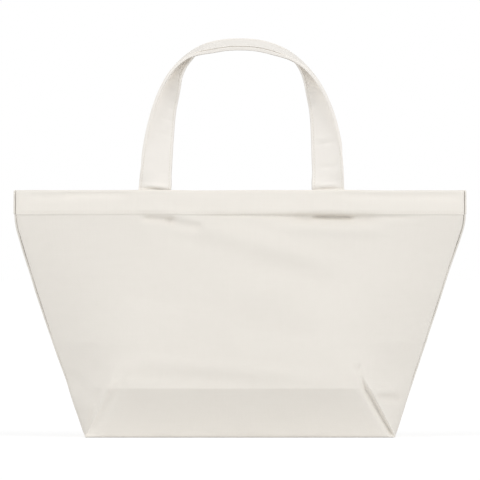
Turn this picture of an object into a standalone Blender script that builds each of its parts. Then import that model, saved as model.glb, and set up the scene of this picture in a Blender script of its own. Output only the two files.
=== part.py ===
"""Canvas tote bag with a boat shape: wide mouth, narrower boxed base and two strap handles.

Metres, +Z up. X runs from side seam to side seam and -Y is the front. The origin lies
under the middle of the base, on the surface that the bag stands on. Sizes of the body
are taken on the outside of the cloth, as the empty bag stands with its mouth relaxed.
"""

import math

import bmesh
import bpy
from mathutils import Vector

# Body
TOP_WIDTH = 0.452
BASE_WIDTH = 0.311
BASE_DEPTH = 0.100
BODY_HEIGHT = 0.247
MOUTH_DEPTH = 0.076
BELLY_DEPTH = 0.132
BELLY_HEIGHT = 0.049
CREASE_SPAN = 0.257
HEM_HEIGHT = 0.023
KNEE_DROP = 0.033
KNEE_SOFTNESS = 0.010
SIDE_TURN = 0.006

# How sharply the front face turns into the side, at the base, the belly and the mouth
BASE_EDGE_SOFTNESS = 0.003
BELLY_EDGE_SOFTNESS = 0.014
MOUTH_EDGE_SOFTNESS = 0.040
MOUTH_SHOULDER_SPAN = 0.271
BELLY_SHOULDER_SHARE = 0.94

# Cloth and sewing
CLOTH = 0.001
CLEARANCE = 0.0003
HEM_LAYERS = 2
SEAM_LAYERS = 2
SEAM_ALLOWANCE = 0.010

# Handles
STRAP_WIDTH = 0.032
STRAP_THICKNESS = 0.003
HANDLE_SPACING = 0.174
HANDLE_RISE = 0.148
ARCH_FULLNESS = 2.45
LEG_LEAN = 0.03
CROWN_TWIST = math.radians(97)
EARLY_TWIST = 0.4
STRAP_EDGE_ROUNDING = 0.0008
END_PROUD = 0.0005
HINGE_GAP = 0.0009

# How finely the cloth is faceted
TURN_STEPS = 2
SIDE_STEPS = 5
FRONT_STEPS = 6
BAND_ROWS = 3
WALL_ROWS = 9
HEM_ROWS = 1
ARCH_STEPS = 44

FRONT, BACK = -1, 1
LEFT, RIGHT = -1, 1

CANVAS_COLOUR = (0.83, 0.79, 0.73, 1)
STRAP_COLOUR = (0.86, 0.82, 0.76, 1)
TAPE_COLOUR = (0.80, 0.76, 0.69, 1)


def blend(start, end, share):
    """Value that leaves start level and arrives at end level."""
    share = min(max(share, 0.0), 1.0)
    return start + (end - start) * share * share * (3 - 2 * share)


def fillet(distance, reach):
    """Parabolic rounding of a corner, for a point this far from it along the line."""
    return max(0.0, reach - abs(distance)) ** 2 / (4 * reach)


# Outline of the standing bag


def wall_share(height):
    """How far a height lies from the belly to the hem, from 0 to 1."""
    return (height - BELLY_HEIGHT) / (BODY_HEIGHT - HEM_HEIGHT - BELLY_HEIGHT)


def seam_lean():
    """Outward run of the side seam for each metre of height, below its knee."""
    return (TOP_WIDTH - BASE_WIDTH) / 2 / (BODY_HEIGHT - KNEE_DROP)


def seam_half_width(height):
    """Half the width at the side seams: a straight lean, then upright above the knee."""
    above_knee = height - (BODY_HEIGHT - KNEE_DROP)
    line = TOP_WIDTH / 2 + seam_lean() * min(above_knee, 0.0)
    return line - seam_lean() * fillet(above_knee, KNEE_SOFTNESS)


def middle_half_depth(height):
    """Half the depth in the middle: the band above the base leans out to the belly."""
    if height < BELLY_HEIGHT:
        return (BASE_DEPTH + (BELLY_DEPTH - BASE_DEPTH) * height / BELLY_HEIGHT) / 2
    return blend(BELLY_DEPTH, MOUTH_DEPTH, wall_share(height)) / 2


def shoulder(height):
    """Where the front face turns into the side, and how softly it turns."""
    depth = middle_half_depth(height)
    if height < BELLY_HEIGHT:
        share = height / BELLY_HEIGHT
        span = BASE_WIDTH + (CREASE_SPAN - BASE_WIDTH) * share
        depth *= 1 + (BELLY_SHOULDER_SHARE - 1) * share
        softness = BASE_EDGE_SOFTNESS + (BELLY_EDGE_SOFTNESS - BASE_EDGE_SOFTNESS) * share
        return span / 2, depth, softness
    span = blend(CREASE_SPAN, MOUTH_SHOULDER_SPAN, wall_share(height))
    mouth_share = 1 - (span / 2 / seam_half_width(height)) ** 2
    depth *= blend(BELLY_SHOULDER_SHARE, mouth_share, wall_share(height))
    softness = blend(BELLY_EDGE_SOFTNESS, MOUTH_EDGE_SOFTNESS, wall_share(height))
    return span / 2, depth, softness


def face_depth(x, height):
    """Half the depth of the crowned face, at this distance from its middle."""
    span, depth, _ = shoulder(height)
    return depth + (middle_half_depth(height) - depth) * (1 - (x / span) ** 2)


def quarter_outline(height):
    """Points from the side seam round the shoulder to the middle of a face, in plan."""
    seam = Vector((seam_half_width(height), 0))
    turn = Vector((seam.x, SIDE_TURN))
    span, depth, softness = shoulder(height)
    corner = Vector((span, depth))
    crown = middle_half_depth(height) - depth
    side_length = (corner - turn).length
    side_way = (corner - turn).normalized()
    seam_way = Vector((0, 1))
    face_way = Vector((-1, 2 * crown / span))
    softness = min(softness, side_length)

    along = [SIDE_TURN * i / TURN_STEPS for i in range(TURN_STEPS)]
    along += [SIDE_TURN + side_length * i / SIDE_STEPS for i in range(SIDE_STEPS)]
    along += [SIDE_TURN + side_length + span * i / FRONT_STEPS for i in range(FRONT_STEPS + 1)]

    points = []
    for distance in along:
        past_turn = distance - SIDE_TURN
        past_corner = past_turn - side_length
        if past_turn < 0:
            point = seam + seam_way * distance
        elif past_corner < 0:
            point = turn + side_way * past_turn
        else:
            x = span - past_corner
            point = Vector((x, face_depth(x, height)))
        point += (side_way - seam_way) * fillet(past_turn, SIDE_TURN)
        point += (face_way - side_way) * fillet(past_corner, softness)
        points.append(point)
    return points


def outline(height, inset=0.0):
    """Closed outline of the bag at a height, seen from above and run anticlockwise."""
    quarter = quarter_outline(height)
    right_back = [(p.x, p.y) for p in quarter]
    left_back = [(-p.x, p.y) for p in reversed(quarter[:-1])]
    left_front = [(-p.x, -p.y) for p in quarter[1:]]
    right_front = [(p.x, -p.y) for p in reversed(quarter[1:-1])]
    plan = [Vector(p) for p in right_back + left_back + left_front + right_front]
    loop = []
    for i, point in enumerate(plan):
        before = (point - plan[i - 1]).orthogonal().normalized()
        after = (plan[(i + 1) % len(plan)] - point).orthogonal().normalized()
        moved = point + (before + after) * inset / (1 + before.dot(after))
        loop.append(Vector((moved.x, moved.y, height)))
    return loop


def row_heights():
    """Heights of the rows of cloth, from the base to the top edge."""
    hem_bottom = BODY_HEIGHT - HEM_HEIGHT
    rows = [BELLY_HEIGHT * i / BAND_ROWS for i in range(BAND_ROWS)]
    rows += [
        BELLY_HEIGHT + (hem_bottom - BELLY_HEIGHT) * i / WALL_ROWS for i in range(WALL_ROWS)
    ]
    rows += [hem_bottom + HEM_HEIGHT * i / HEM_ROWS for i in range(HEM_ROWS + 1)]
    return rows


# Mesh and object helpers


def material(name, colour):
    """Plain cotton in one colour, made once and shared."""
    made = bpy.data.materials.get(name)
    if made:
        return made
    made = bpy.data.materials.new(name)
    made.use_nodes = True
    shader = made.node_tree.nodes["Principled BSDF"]
    shader.inputs["Base Color"].default_value = colour
    shader.inputs["Roughness"].default_value = 0.9
    shader.inputs["Metallic"].default_value = 0.0
    made.diffuse_color = colour
    return made


def add_object(name, bm, cotton, parent=None):
    """Turns a bmesh into a named object in the scene."""
    bmesh.ops.recalc_face_normals(bm, faces=bm.faces)
    mesh = bpy.data.meshes.new(name)
    bm.to_mesh(mesh)
    bm.free()
    mesh.materials.append(cotton)
    made = bpy.data.objects.new(name, mesh)
    bpy.context.scene.collection.objects.link(made)
    made.parent = parent
    return made


def loft(bm, loops, joined=False):
    """Skins a row of loops and caps its ends, or joins the last loop to the first."""
    rings = [[bm.verts.new(point) for point in loop] for loop in loops]
    if joined:
        rings.append(rings[0])
    for lower, upper in zip(rings, rings[1:]):
        for i in range(len(lower)):
            bm.faces.new((lower[i - 1], lower[i], upper[i], upper[i - 1]))
    if not joined:
        bm.faces.new(reversed(rings[0]))
        bm.faces.new(rings[-1])


def half_space(name, side):
    """Block that covers the front or the back half of the bag, as far as its seams."""
    reach = TOP_WIDTH + BASE_WIDTH
    height = BODY_HEIGHT * 3
    bm = bmesh.new()
    bmesh.ops.create_cube(bm, size=1)
    bmesh.ops.scale(bm, vec=(reach, reach, height), verts=bm.verts)
    block = add_object(name, bm, material("canvas", CANVAS_COLOUR))
    block.location.y = side * (reach + CLEARANCE) / 2
    block.hide_render = True
    block.display_type = "WIRE"
    return block


def keep_half(obj, block):
    """Cuts cloth that goes all round the bag at its side seams."""
    cut = obj.modifiers.new("side_seams", "BOOLEAN")
    cut.operation = "INTERSECT"
    cut.solver = "EXACT"
    cut.object = block


def add_block(name, low, high, cotton, parent):
    """Flat strip of cloth between two corners, with its edges just broken."""
    low, high = Vector(low), Vector(high)
    bm = bmesh.new()
    bmesh.ops.create_cube(bm, size=1)
    bmesh.ops.scale(bm, vec=high - low, verts=bm.verts)
    strip = add_object(name, bm, cotton, parent)
    strip.location = (low + high) / 2
    soften = strip.modifiers.new("soft_edges", "BEVEL")
    soften.width = CLOTH / 4
    soften.segments = 1
    return strip


# Body


def add_panel(name, block, parent):
    """Front or back panel: its face, half of each side and half of the base."""
    rows = row_heights()
    outside = [outline(height) for height in rows]
    inside = [outline(height, CLOTH) for height in [CLOTH] + rows[1:]]
    bm = bmesh.new()
    loft(bm, outside + inside[::-1])
    panel = add_object(name, bm, material("canvas", CANVAS_COLOUR), parent)
    keep_half(panel, block)


def add_hem(name, block, parent):
    """Top edge of a panel, turned in twice: the layers that lie inside the panel."""
    inset = CLOTH + CLEARANCE
    levels = [BODY_HEIGHT - HEM_HEIGHT, BODY_HEIGHT]
    outside = [outline(height, inset) for height in levels]
    inside = [outline(height, inset + HEM_LAYERS * CLOTH) for height in levels]
    bm = bmesh.new()
    loft(bm, outside + inside[::-1], joined=True)
    hem = add_object(name, bm, material("canvas", CANVAS_COLOUR), parent)
    keep_half(hem, block)


def seam_thickness():
    return SEAM_LAYERS * CLOTH


def base_seam_top():
    """Height of the upper face of the seam allowances that lie on the base."""
    return CLOTH + CLEARANCE + seam_thickness()


def add_side_seam(name, side, parent):
    """Edges of both panels, turned in and overlocked into one strip inside the seam."""
    lean = math.hypot(1, seam_lean())
    inset = (CLOTH + CLEARANCE) * lean
    start = base_seam_top() + CLEARANCE
    end = BODY_HEIGHT - HEM_HEIGHT - CLEARANCE
    inner_rows = [height for height in row_heights() if start < height < end]
    heights = [start] + inner_rows + [end]
    outer = [Vector((side * (seam_half_width(z) - inset), 0, z)) for z in heights]
    inner = [point - Vector((side * SEAM_ALLOWANCE, 0, 0)) for point in outer]
    bm = bmesh.new()
    outer_verts = [bm.verts.new(point) for point in outer]
    inner_verts = [bm.verts.new(point) for point in inner]
    for i in range(len(heights) - 1):
        bm.faces.new((outer_verts[i], outer_verts[i + 1], inner_verts[i + 1], inner_verts[i]))
    strip = bmesh.ops.extrude_face_region(bm, geom=bm.faces[:])
    moved = [item for item in strip["geom"] if isinstance(item, bmesh.types.BMVert)]
    bmesh.ops.translate(bm, vec=(0, seam_thickness(), 0), verts=moved)
    bmesh.ops.translate(bm, vec=(0, -seam_thickness() / 2, 0), verts=bm.verts)
    return add_object(name, bm, material("overlocked_edge", TAPE_COLOUR), parent)


def add_base_seams(parent):
    """Seam allowances that lie on the base: along its middle and across both ends."""
    cotton = material("overlocked_edge", TAPE_COLOUR)
    floor = CLOTH + CLEARANCE
    end_x = shoulder(base_seam_top())[0] - CLOTH - CLEARANCE
    end_y = BASE_DEPTH / 2 - CLOTH - CLEARANCE - BASE_EDGE_SOFTNESS
    middle_x = end_x - SEAM_ALLOWANCE - CLEARANCE
    add_block(
        "base_seam",
        (-middle_x, 0, floor),
        (middle_x, SEAM_ALLOWANCE, base_seam_top()),
        cotton,
        parent,
    )
    for name, side in (("left_corner_seam", LEFT), ("right_corner_seam", RIGHT)):
        near, far = sorted((side * end_x, side * (end_x - SEAM_ALLOWANCE)))
        add_block(name, (near, -end_y, floor), (far, end_y, base_seam_top()), cotton, parent)


# Handles


def hem_inner_face(x, side):
    """Point on the inner face of the hem, at this distance from the middle of the bag."""
    span, depth, _ = shoulder(BODY_HEIGHT)
    crown = middle_half_depth(BODY_HEIGHT) - depth
    outer = Vector((x, side * face_depth(x, BODY_HEIGHT)))
    run = Vector((1, -side * 2 * crown * x / span**2)).normalized()
    inward = Vector((run.y, -run.x)) * side
    return outer + inward * (CLOTH + CLEARANCE + HEM_LAYERS * CLOTH)


def strap_seat(side, end):
    """Middle of a sewn strap end and its direction across the strap, in plan."""
    near = hem_inner_face(end * (HANDLE_SPACING - STRAP_WIDTH) / 2, side)
    far = hem_inner_face(end * (HANDLE_SPACING + STRAP_WIDTH) / 2, side)
    across = (near - far).normalized()
    inward = Vector((0, -side))
    inward = (inward - across * inward.dot(across)).normalized()
    middle = (near + far) / 2 + inward * (CLEARANCE + STRAP_THICKNESS / 2)
    return middle, across


def strap_section(middle, across, through):
    """Cross-section of the folded strap: a flat band with rounded edges."""
    wide, thick, cut = STRAP_WIDTH / 2, STRAP_THICKNESS / 2, STRAP_EDGE_ROUNDING
    corners = [
        (wide - cut, -thick),
        (wide, cut - thick),
        (wide, thick - cut),
        (wide - cut, thick),
    ]
    corners += [(-a, -b) for a, b in corners]
    return [middle + across * a + through * b for a, b in corners]


def arch_line(side):
    """Middle line of a handle from its left foot to its right foot, in equal steps."""
    seat, _ = strap_seat(side, RIGHT)
    foot = BODY_HEIGHT + END_PROUD + HINGE_GAP
    fine = 40 * ARCH_STEPS
    curve = []
    for i in range(fine + 1):
        angle = math.pi * (1 - i / fine)
        rise = abs(math.sin(angle)) ** (2 / ARCH_FULLNESS)
        run = math.copysign(abs(math.cos(angle)) ** (2 / ARCH_FULLNESS), math.cos(angle))
        run *= 1 - LEG_LEAN * 4 * rise * (1 - rise)
        curve.append(Vector((seat.x * run, seat.y, foot + HANDLE_RISE * rise)))
    lengths = [0.0]
    for before, after in zip(curve, curve[1:]):
        lengths.append(lengths[-1] + (after - before).length)
    line, index = [], 0
    for step in range(ARCH_STEPS + 1):
        target = lengths[-1] * step / ARCH_STEPS
        while index < fine - 1 and lengths[index + 1] < target:
            index += 1
        share = (target - lengths[index]) / (lengths[index + 1] - lengths[index])
        line.append(curve[index].lerp(curve[index + 1], share))
    return line


def twist(share, foot_twist):
    """Turn of the strap about its own line, from a foot (0) to the crown (1)."""
    eased = (1 - EARLY_TWIST) * share + EARLY_TWIST * math.sin(share * math.pi / 2)
    return foot_twist + (CROWN_TWIST - foot_twist) * eased


def add_handle(name, side, parent):
    """Free arch of a strap handle: flat on the hem, edge-on at the crown."""
    line = arch_line(side)
    _, across = strap_seat(side, LEFT)
    foot_twist = math.atan2(-side * across.y, across.x)
    loops = []
    for i, point in enumerate(line):
        way = line[min(i + 1, ARCH_STEPS)] - line[max(i - 1, 0)]
        way = Vector((way.x, 0, way.z)).normalized()
        if i in (0, ARCH_STEPS):
            way = Vector((0, 0, 1 if i == 0 else -1))
        inner = Vector((way.z, 0, -way.x))
        share = 1 - abs(2 * i / ARCH_STEPS - 1)
        angle = twist(share, foot_twist)
        width_way = inner * math.cos(angle) - Vector((0, side, 0)) * math.sin(angle)
        loops.append(strap_section(point, width_way, way.cross(width_way)))
    bm = bmesh.new()
    loft(bm, loops)
    return add_object(name, bm, material("strap", STRAP_COLOUR), parent)


def add_strap_end(name, side, end, parent):
    """End of a strap that is sewn flat on the inside of the hem."""
    middle, across = strap_seat(side, end)
    low = BODY_HEIGHT - HEM_HEIGHT
    high = BODY_HEIGHT + END_PROUD
    width_way = Vector((across.x, across.y, 0))
    through = Vector((-across.y, across.x, 0))
    loops = [
        strap_section(Vector((middle.x, middle.y, height)), width_way, through)
        for height in (low, high)
    ]
    bm = bmesh.new()
    loft(bm, loops)
    return add_object(name, bm, material("strap", STRAP_COLOUR), parent)


def add_pivot(name, side):
    """Empty on the line that a handle folds over: the outer top edge of its hem."""
    strap_edge = (HANDLE_SPACING - STRAP_WIDTH) / 2
    pivot = bpy.data.objects.new(name, None)
    pivot.location = (0, side * face_depth(strap_edge, BODY_HEIGHT), BODY_HEIGHT)
    bpy.context.scene.collection.objects.link(pivot)
    return pivot


def clear_scene():
    for obj in list(bpy.data.objects):
        bpy.data.objects.remove(obj, do_unlink=True)


def main():
    clear_scene()
    bag = bpy.data.objects.new("bag", None)
    bpy.context.scene.collection.objects.link(bag)

    for word, side in (("front", FRONT), ("back", BACK)):
        block = half_space(f"{word}_half", side)
        add_panel(f"{word}_panel", block, bag)
        add_hem(f"{word}_hem", block, bag)
        add_strap_end(f"{word}_handle_left_end", side, LEFT, bag)
        add_strap_end(f"{word}_handle_right_end", side, RIGHT, bag)
        pivot = add_pivot(f"{word}_handle_fold", side)
        handle = add_handle(f"{word}_handle", side, pivot)
        handle.data.transform(pivot.matrix_basis.inverted())

    add_side_seam("left_side_seam", LEFT, bag)
    add_side_seam("right_side_seam", RIGHT, bag)
    add_base_seams(bag)


main()
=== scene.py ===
"""Looks of a boat-shaped canvas tote bag, laid out as a Blender add-on.

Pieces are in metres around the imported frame: +Z up, +X along the mouth, -Y to the front.
The cloth is lofted from an outline by height, and its folds are swells and hollows of it.
The straps are ruled along an arch, and threads follow lines on the finished cloth.
"""

import math
from collections import namedtuple

import bpy
import numpy as np
from bpy.props import FloatProperty, FloatVectorProperty, PointerProperty
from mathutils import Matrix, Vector, noise


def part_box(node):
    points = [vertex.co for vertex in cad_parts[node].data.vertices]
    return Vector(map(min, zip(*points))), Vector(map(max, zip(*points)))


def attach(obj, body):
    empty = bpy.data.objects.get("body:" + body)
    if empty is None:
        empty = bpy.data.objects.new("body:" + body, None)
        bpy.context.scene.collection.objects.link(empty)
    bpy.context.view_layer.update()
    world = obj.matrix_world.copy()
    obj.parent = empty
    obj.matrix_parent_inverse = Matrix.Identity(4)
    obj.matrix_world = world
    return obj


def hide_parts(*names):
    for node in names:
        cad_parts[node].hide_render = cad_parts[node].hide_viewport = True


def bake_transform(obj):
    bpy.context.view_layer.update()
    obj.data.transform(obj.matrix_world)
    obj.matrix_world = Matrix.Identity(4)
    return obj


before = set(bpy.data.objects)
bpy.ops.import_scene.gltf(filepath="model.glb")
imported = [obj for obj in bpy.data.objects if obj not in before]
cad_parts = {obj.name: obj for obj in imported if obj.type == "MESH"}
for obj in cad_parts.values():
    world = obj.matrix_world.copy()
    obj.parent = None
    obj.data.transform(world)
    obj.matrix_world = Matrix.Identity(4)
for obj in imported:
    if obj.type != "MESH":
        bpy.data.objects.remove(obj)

bl_info = {
    "name": "Canvas tote bag",
    "version": (1, 0, 0),
    "blender": (4, 5, 0),
    "location": "3D Viewport > Sidebar > Tote bag",
    "description": "Builds the cloth, straps, seams and stitches of a boat-shaped tote bag",
    "category": "Object",
}

FRONT, BACK = -1, 1
LEFT, RIGHT = -1, 1
FACES = {"front": FRONT, "back": BACK}
ENDS = {"left": LEFT, "right": RIGHT}

PANEL_LOW, PANEL_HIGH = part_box("front_panel")
END_LOW, END_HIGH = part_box("front_handle_left_end")


# Sizes and colours that a user would change


def number(name, default, description, **kind):
    """A number, whose kind is its unit or subtype."""
    return FloatProperty(name=name, description=description, default=default, **kind)


def length(name, default, description):
    """A length in metres, shown in the scene's unit."""
    return number(name, default, description, unit="LENGTH", precision=4)


def colour(name, default, description):
    """A colour as three linear values."""
    return FloatVectorProperty(
        name=name, description=description, default=default, min=0, max=1, subtype="COLOR"
    )


class BodySizes(bpy.types.PropertyGroup):
    top_width: length("Top width", PANEL_HIGH.x - PANEL_LOW.x, "Across the mouth, flat")
    base_width: length("Base width", 0.311, "Along the base")
    base_depth: length("Base depth", 0.100, "From front to back of the base")
    height: length("Body height", PANEL_HIGH.z, "From the base to the top edge")
    mouth_depth: length("Mouth depth", 0.076, "How far the mouth stands open")
    belly_depth: length("Belly depth", -2 * PANEL_LOW.y, "Widest depth, at the storage crease")
    belly_height: length("Belly height", 0.049, "Height of the storage crease")
    left_crease: length("Left crease", 0.1315, "Left corner crease to the middle")
    right_crease: length("Right crease", 0.1285, "Right corner crease to the middle")
    mouth_shoulder: length("Mouth shoulder", 0.1355, "Where the face turns at the mouth")
    knee_drop: length("Knee drop", 0.033, "Below the top edge, where the side leans in")
    knee_softness: length("Knee softness", 0.010, "Reach of the rounding at the knee")
    side_turn: length("Side turn", 0.006, "Half the width of the rounded side edge")
    seam_shift: length("Seam shift", 0.0050, "Seams to the middle of the depth")


class ClothSizes(bpy.types.PropertyGroup):
    thickness: length("Cloth thickness", 0.001, "One layer of canvas")
    layer_gap: length("Layer gap", 0.00015, "Air between sewn layers")
    hem_height: length("Hem height", 0.0245, "Depth of the turned hem")
    hem_step: length("Hem step", 0.0009, "How far the hem stands proud")
    allowance: length("Seam allowance", 0.010, "Cloth beyond a seam")
    thread_pitch: length("Thread pitch", 0.0007, "From one thread of the weave to the next")
    fine_cell: length("Fine cell", 0.0007, "Mesh spacing at creases and stitches")
    plain_cell: length("Plain cell", 0.0021, "Mesh spacing on plain cloth")


class StrapSizes(bpy.types.PropertyGroup):
    width: length("Strap width", 0.032, "Across the strap")
    thickness: length("Strap thickness", 0.0028, "Four layers of canvas, pressed")
    rise: length("Handle rise", 0.1490, "From the top edge to the crown")
    left_reach: length("Left reach", 0.1013, "Middle to the left foot's outer edge")
    right_reach: length("Right reach", 0.1042, "Middle to the right foot's outer edge")
    edge_stitch: length("Edge stitching", 0.0022, "From the strap's edge to its stitches")
    crown_turn: number("Crown turn", math.radians(103.4), "At the crown", subtype="ANGLE")
    back_lift: length("Back lift", 0.0016, "How much higher the back handle is")


class ThreadSizes(bpy.types.PropertyGroup):
    radius: length("Thread radius", 0.00021, "Half the thickness of the sewing thread")
    pitch: length("Stitch pitch", 0.0031, "From one stitch to the next")
    hem_line: length("Hem stitch line", 0.0024, "Above the hem's lower edge")
    overlock_reach: length("Overlock reach", 0.004, "How far its threads reach in")


class BagColours(bpy.types.PropertyGroup):
    canvas: colour("Canvas", (0.83, 0.795, 0.74), "Undyed cotton canvas")
    canvas_shade: colour("Canvas shade", (0.77, 0.735, 0.675), "Between the threads of the weave")
    strap: colour("Strap", (0.925, 0.89, 0.84), "Folded canvas of the straps")
    strap_shade: colour("Strap shade", (0.865, 0.83, 0.78), "Between the threads of the straps")
    edge: colour("Cut edge", (0.80, 0.76, 0.69), "Seam allowances inside the bag")
    edge_shade: colour("Cut edge shade", (0.73, 0.68, 0.60), "Between the threads there")
    thread: colour("Thread", (0.85, 0.81, 0.74), "Sewing thread")


class StudioSizes(bpy.types.PropertyGroup):
    lens: number("Lens", 600, "Focal length in mm")
    view_width: length("View width", 0.4812, "Width of the view at the bag")
    view_height: length("View height", 0.1968, "Height of the camera above the floor")
    sky: number("Sky", 0.63, "Even light from all round")
    lamp: number("Lamps", 0.955, "Strength of each soft lamp")


# Outline of the standing bag


def ease(part):
    """Share that leaves 0 and reaches 1 level."""
    part = np.clip(part, 0.0, 1.0)
    return part * part * (3 - 2 * part)


def mix(start, end, part):
    """Value at this share of the way from start to end."""
    return start + (end - start) * part


def fillet(distance, reach):
    """Parabolic rounding of a corner, at this distance from it."""
    return np.maximum(0.0, reach - np.abs(distance)) ** 2 / (4 * reach)


def bump(distance, width):
    """Bell shape that is 1 at no distance."""
    return np.exp(-((distance / width) ** 2))


def stacked(*parts):
    """Points from their coordinates, which may be single numbers."""
    return np.stack(np.broadcast_arrays(*parts), axis=-1)


def lengths_along(points):
    """Running length along a row of points."""
    steps = np.linalg.norm(np.diff(points, axis=0), axis=1)
    return np.concatenate([[0.0], np.cumsum(steps)])


def sampled(points, travel, places):
    """Points at these running lengths along a row of points."""
    return stacked(*(np.interp(places, travel, column) for column in points.T))


def directions(points):
    """Unit direction along a row of points."""
    way = np.gradient(points, axis=0)
    return way / np.linalg.norm(way, axis=1)[:, None]


def seam_lean(body):
    """Outward lean of the side seam below its knee."""
    return (body.top_width - body.base_width) / 2 / (body.height - body.knee_drop)


def seam_half_width(body, height):
    """Half the width at the seams: a straight lean, then upright above the knee."""
    above_knee = height - (body.height - body.knee_drop)
    lean = seam_lean(body)
    line = body.top_width / 2 + lean * np.minimum(above_knee, 0.0)
    return line - lean * fillet(above_knee, body.knee_softness)


# The left side stands out a little round this height, over this reach
LEFT_BULGE, BULGE_HEIGHT, BULGE_REACH = 0.0020, 0.125, 0.065


def side_half_width(body, height, end):
    """Half the width at the seam of one end."""
    bulge = LEFT_BULGE * bump(height - BULGE_HEIGHT, BULGE_REACH)
    return seam_half_width(body, height) + np.where(end < 0, bulge, 0)


def wall_share(body, cloth, height):
    """How far a height lies from the belly to the hem, from 0 to 1."""
    wall = body.height - cloth.hem_height - body.belly_height
    return np.clip((height - body.belly_height) / wall, 0, 1)


# How late the band widens up to the belly, and how late the wall leans in above it
BAND_HOLLOW, WALL_LEAN = 1.5, 1.7


def middle_half_depth(body, cloth, height):
    """Half the depth in the middle: a hollow band up to the belly, then in to the mouth."""
    band = np.clip(height / body.belly_height, 0, 1) ** BAND_HOLLOW
    part = wall_share(body, cloth, height) ** WALL_LEAN
    low = mix(body.base_depth, body.belly_depth, band)
    high = mix(body.belly_depth, body.mouth_depth, part)
    return np.where(height < body.belly_height, low, high) / 2


# How sharply the face turns into the side, over what height the crease fades above the
# belly, how far it still runs inward there, and its depth as a share of the middle's
BASE_CORNER, BELLY_CORNER, MOUTH_CORNER = 0.0012, 0.0035, 0.040
CREASE_FADE, CREASE_RUN, SHOULDER_SHARE = 0.045, 0.008, 0.94


def shoulder(body, cloth, height, end):
    """Where the face turns into the side (span, depth) and how softly it turns."""
    crease = np.where(end < 0, body.left_crease, body.right_crease)
    in_band = height < body.belly_height
    band = np.clip(height / body.belly_height, 0, 1)
    part = ease(wall_share(body, cloth, height))
    above = (height - body.belly_height) / CREASE_FADE
    inward = CREASE_RUN * np.sin(np.clip(above, 0, 1) * math.pi)
    high_span = mix(crease, body.mouth_shoulder, part) - inward
    span = np.where(in_band, mix(body.base_width / 2, crease, band), high_span)
    mouth_share = 1 - (span / seam_half_width(body, height)) ** 2
    depth = middle_half_depth(body, cloth, height) * np.where(
        in_band, mix(1, SHOULDER_SHARE, band), mix(SHOULDER_SHARE, mouth_share, part)
    )
    softness = mix(BELLY_CORNER, MOUTH_CORNER, ease(above))
    return span, depth, np.where(in_band, mix(BASE_CORNER, BELLY_CORNER, band), softness)


def plan_point(body, cloth, around, height, seam_offset):
    """Outside of the bag in plan, as x and a depth from the middle that is never turned round.

    around is -2 and 2 at the seams, -1 and 1 at the corners and 0 in the middle of the face.
    """
    end, reach = np.where(around < 0, LEFT, RIGHT), np.abs(around)
    on_side, inner = reach > 1, np.minimum(reach, 1)
    span, depth, softness = shoulder(body, cloth, height, end)
    half_width = side_half_width(body, height, end)
    crown = middle_half_depth(body, cloth, height) - depth
    way_x, way_y = span - half_width, depth - body.side_turn
    side_length = np.hypot(way_x, way_y)
    way_x, way_y = way_x / side_length, way_y / side_length
    whole = side_length + body.side_turn
    from_seam = np.where(on_side, mix(whole, seam_offset, reach - 1), whole + (1 - reach) * span)
    past_turn, past_corner = from_seam - body.side_turn, from_seam - whole
    x = np.where(on_side, half_width + way_x * np.maximum(past_turn, 0), inner * span)
    flank = np.where(past_turn > 0, body.side_turn + way_y * past_turn, from_seam)
    y = np.where(on_side, flank, depth + crown * (1 - inner**2))
    turn = fillet(past_turn, body.side_turn)
    corner = fillet(past_corner, np.minimum(softness, side_length))
    x = x + way_x * turn + (-1 - way_x) * corner
    y = y + (way_y - 1) * turn + (2 * crown / span - way_y) * corner
    return end * x, y, from_seam, past_corner


# Folds of the cloth

# Each fold, in tenths of a millimetre: x and height of its start and of its end on the
# face, its width, and how far it rises outward; and the share over which its ends fade
FOLD_UNIT, FOLD_FADE = 10000, 0.22

FRONT_FOLDS = [
    # tuck under the hem below the right strap, with the cloth full beneath it
    (800, 2200, 1080, 2196, 17, -48),
    (620, 2180, 1240, 2170, 48, -40),
    (450, 2202, 1500, 2198, 26, -15),
    (-180, 2214, 660, 2212, 16, -12),
    (500, 2080, 1250, 2060, 60, 12),
    # tuck that runs down to the right from below the left strap
    (-920, 2184, -700, 2170, 30, -36),
    (-700, 2150, -440, 2105, 44, -32),
    (-450, 2130, 770, 1770, 105, 18),
    (-200, 1890, 400, 1860, 200, 20),
    (-450, 1960, 740, 1560, 125, -11),
    # soft swells low in the middle
    (-120, 1500, 300, 1450, 150, 14),
    (100, 1080, 650, 1020, 140, -14),
    (-1000, 1380, -300, 1320, 90, -5),
    (-1100, 620, 0, 550, 70, -7),
    (-700, 740, 550, 620, 70, 9),
    # left corner: a valley inside the creased corner, and a dented side
    (-1220, 520, -1480, 60, 75, -24),
    (-1700, 600, -1480, 420, 80, -18),
    (-1640, 400, -1600, 300, 60, 10),
    (-1560, 260, -1500, 120, 50, -8),
    # right corner: the pinch beside the crease runs out upward, and the side is dented
    (1190, 680, 1270, 500, 38, -24),
    (1390, 395, 1560, 380, 34, -22),
    (1400, 460, 1500, 455, 36, 16),
    # dents of the hem
    (-1650, 2430, -1220, 2428, 36, -18),
    (-2050, 2415, -1700, 2412, 40, -10),
    (1200, 2415, 2050, 2412, 40, -12),
    (-600, 2380, -200, 2360, 100, 6),
]

BACK_FOLDS = [
    (-1200, 2205, -600, 2212, 30, -22),
    (550, 2210, 1100, 2190, 28, -18),
    (600, 2150, -500, 1750, 130, 11),
    (800, 1950, -400, 1500, 140, -9),
    (-900, 1200, -200, 1250, 150, 9),
    (-500, 850, 500, 800, 150, -9),
    (-500, 600, 1100, 585, 80, -8),
    (1235, 530, 1450, 80, 34, -14),
    (1700, 600, 1450, 370, 80, -20),
    (-1440, 420, -1600, 380, 50, -18),
]

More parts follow.
